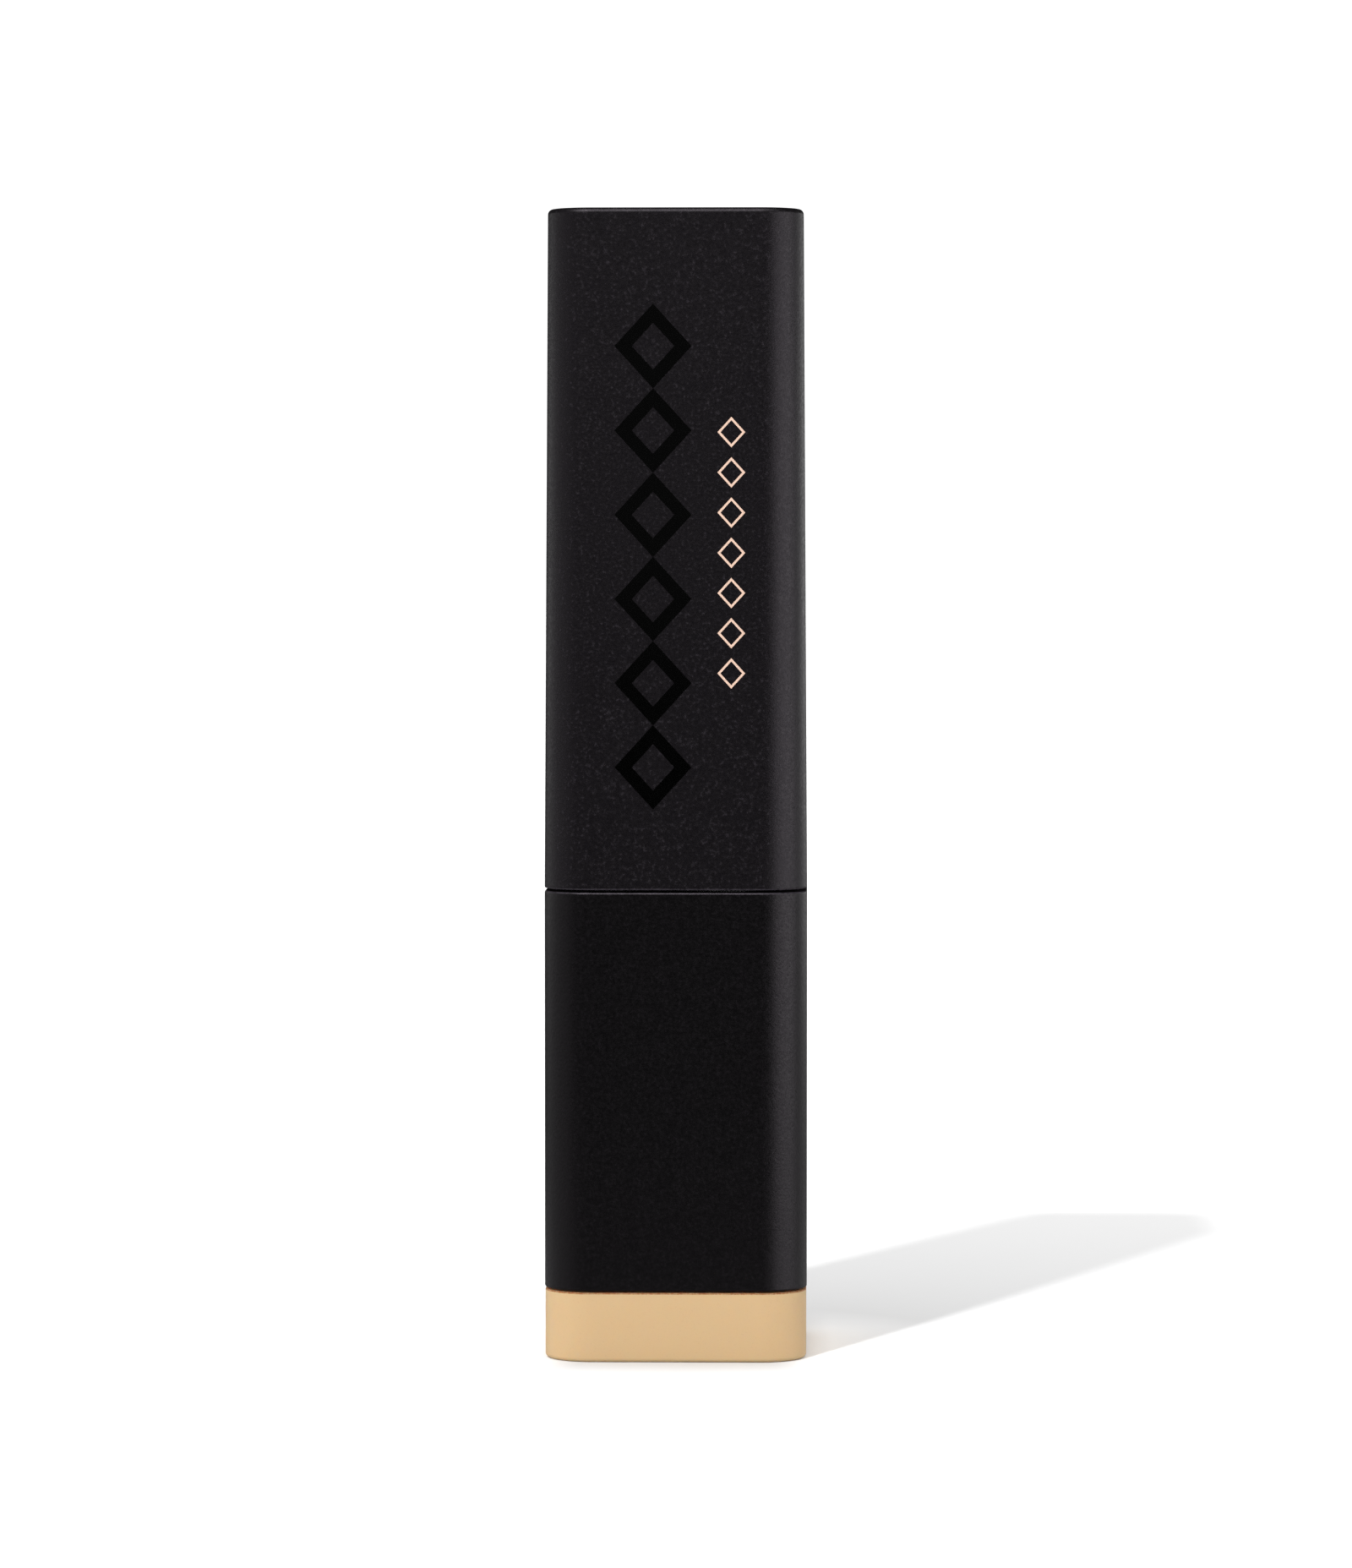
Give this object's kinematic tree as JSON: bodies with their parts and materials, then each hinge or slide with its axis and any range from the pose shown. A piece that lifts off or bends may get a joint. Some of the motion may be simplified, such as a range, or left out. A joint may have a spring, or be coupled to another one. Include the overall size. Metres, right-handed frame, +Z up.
{
  "type": "lipstick case",
  "caption": "Square twist-up stick case with a pull-off cap, a turning collar and a shade-coloured base, closed and standing upright.",
  "frame": {"origin": "centre of the underside, on the surface that the case stands on", "axes": "+Z up along the case's long axis, -Y out of the decorated front face, +X to the right when facing the front"},
  "size_m": [0.02, 0.02, 0.0874],
  "materials": {
    "black_paint": "matte black soft-touch lacquer on moulded plastic",
    "shade_plastic": "satin beige moulded plastic in the colour of the shade",
    "black_anodised": "satin black anodised",
    "dark_plastic": "moulded black plastic",
    "natural_plastic": "natural moulded acetal",
    "brake_rubber": "moulded elastomer",
    "weight_steel": "zinc plated",
    "label_paper": "plain uncoated label stock",
    "gloss_varnish": "gloss black varnish film printed on the cap's front",
    "rose_gold_foil": "rose gold hot-stamped foil on the cap's front",
    "wax": "smooth moulded wax stick"
  },
  "bodies": {
    "base": {"shade_base": "shade_plastic", "shade_label": "label_paper", "base_weight": "weight_steel", "body_shell": "black_paint", "base_core": "dark_plastic", "fork_tube": "natural_plastic", "brake_ring": "brake_rubber", "retainer_ring": "natural_plastic"},
    "collar": {"collar_shell": "black_anodised", "spiral_tube": "dark_plastic"},
    "carrier": {"cup": "natural_plastic", "bullet": "wax"},
    "cap": {"cap_shell": "black_paint", "cap_liner": "dark_plastic"}
  },
  "joints": [
    {"name": "collar_turn", "type": "hinge", "parent": "base", "child": "collar", "pos_m": [0, 0, 0.036], "axis": [0, 0, 1], "range_deg": [0, 900]},
    {"name": "cup_rise", "type": "slide", "parent": "base", "child": "carrier", "axis": [0, 0, 1], "range_m": [0, 0.03]},
    {"name": "cap_pull", "type": "slide", "parent": "collar", "child": "cap", "axis": [0, 0, 1], "range_m": [0, 0.055]}
  ],
  "couplings": [
    {"joint": "cup_rise", "follows": "collar_turn", "m_per_rad": 0.0019099}
  ]
}
